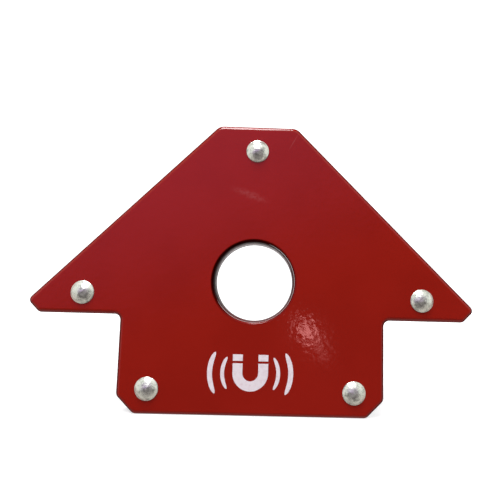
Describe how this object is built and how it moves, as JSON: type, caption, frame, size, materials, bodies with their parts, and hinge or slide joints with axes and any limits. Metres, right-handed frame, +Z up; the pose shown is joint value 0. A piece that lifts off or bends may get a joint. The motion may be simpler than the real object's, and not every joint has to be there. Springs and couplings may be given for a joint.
{
  "type": "welding magnet holder",
  "caption": "Arrow-shaped magnetic welding holder: two riveted steel plates with ferrite magnets between them and a central grip hole, for holding steel at 45, 90 or 135 degrees.",
  "frame": {"origin": "middle of the base edge, halfway through the thickness, where the holder stands", "axes": "+Z up towards the arrow's flat top, +X along the base edge, -Y out of the front face and +Y out of the back face"},
  "size_m": [0.1548, 0.018, 0.102],
  "materials": {
    "plate_paint": "glossy red powder coat with a light orange peel",
    "rivet_metal": "bright, hammered smooth",
    "sleeve_metal": "turned, satin",
    "spacer_metal": "sawn tube, satin",
    "core_plastic": "moulded, fine grain",
    "ferrite": "sintered ceramic, dull grey-black",
    "print_ink": "thin white screen print on the front plate, part of the looks and of no solid"
  },
  "bodies": {
    "root": {"front_plate": "plate_paint", "back_plate": "plate_paint", "core_frame": "core_plastic", "hole_sleeve": "sleeve_metal", "upper_magnet": "ferrite", "left_magnet": "ferrite", "right_magnet": "ferrite", "lower_magnet": "ferrite", "top_spacer": "spacer_metal", "left_wing_spacer": "spacer_metal", "right_wing_spacer": "spacer_metal", "left_foot_spacer": "spacer_metal", "right_foot_spacer": "spacer_metal", "top_rivet": "rivet_metal", "left_wing_rivet": "rivet_metal", "right_wing_rivet": "rivet_metal", "left_foot_rivet": "rivet_metal", "right_foot_rivet": "rivet_metal"}
  },
  "joints": []
}
